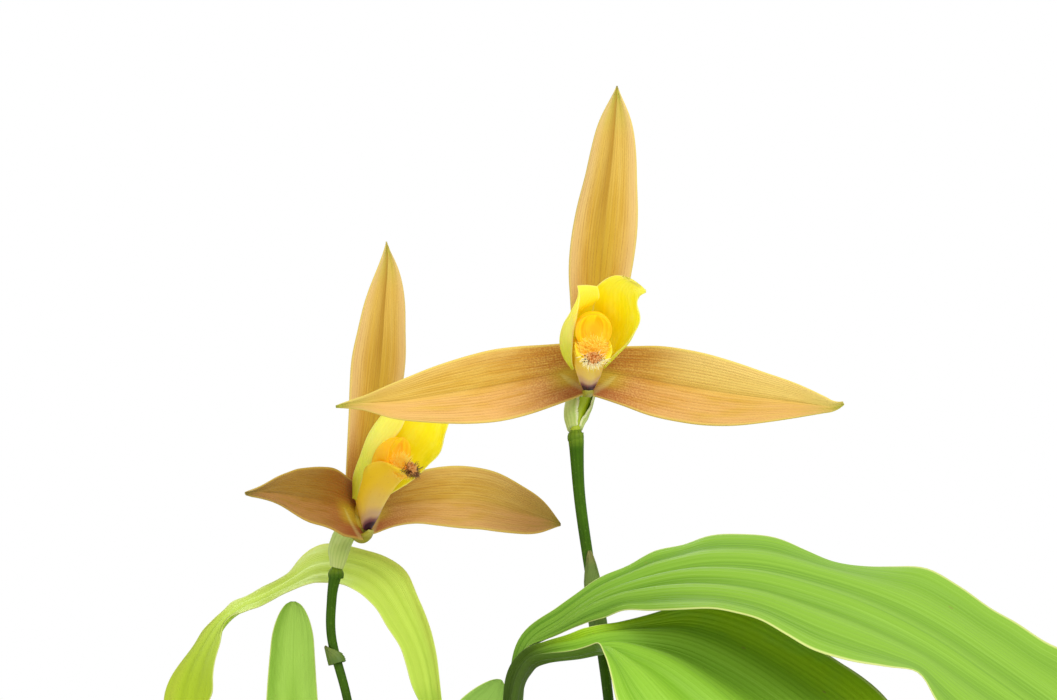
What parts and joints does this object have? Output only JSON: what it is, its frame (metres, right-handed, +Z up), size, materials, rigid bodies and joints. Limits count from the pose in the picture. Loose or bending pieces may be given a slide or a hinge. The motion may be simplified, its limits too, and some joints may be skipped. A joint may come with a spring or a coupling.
{
  "type": "potted lycaste orchid",
  "caption": "Flowering Lycaste lasioglossa orchid with tan sepals, yellow petals, hairy lips and arching pleated leaves, in a plain round clay pot.",
  "frame": {"origin": "middle of the pot's foot, on the surface that it stands on", "axes": "+Z up, the flowers look toward -Y, +X to the viewer's right"},
  "size_m": [0.2319, 0.1404, 0.3411],
  "materials": {
    "sepal": "satin",
    "petal": "satin",
    "lip": "matte",
    "column": "satin",
    "scape": "satin",
    "bract": "matte",
    "leaf": "satin",
    "young_leaf": "satin",
    "bulb": "satin",
    "clay": "matte",
    "bark": "matte"
  },
  "bodies": {
    "root": {"pot": "clay", "bark_mix": "bark", "front_pseudobulb": "bulb", "rear_pseudobulb": "bulb", "back_bulb": "bulb", "new_shoot": "bulb", "arching_leaf": "leaf", "front_leaf": "leaf", "left_leaf": "young_leaf", "upright_leaf": "young_leaf", "short_leaf": "young_leaf", "front_scape": "scape", "front_ovary": "scape", "front_floral_bract": "bract", "front_upper_scape_bract": "bract", "front_lower_scape_bract": "bract", "front_column": "column", "front_lip": "lip", "front_left_petal": "petal", "front_right_petal": "petal", "front_dorsal_sepal": "sepal", "front_left_sepal": "sepal", "front_right_sepal": "sepal", "turned_scape": "scape", "turned_ovary": "scape", "turned_floral_bract": "bract", "turned_upper_scape_bract": "bract", "turned_lower_scape_bract": "bract", "turned_column": "column", "turned_lip": "lip", "turned_left_petal": "petal", "turned_right_petal": "petal", "turned_dorsal_sepal": "sepal", "turned_left_sepal": "sepal", "turned_right_sepal": "sepal"}
  },
  "joints": []
}
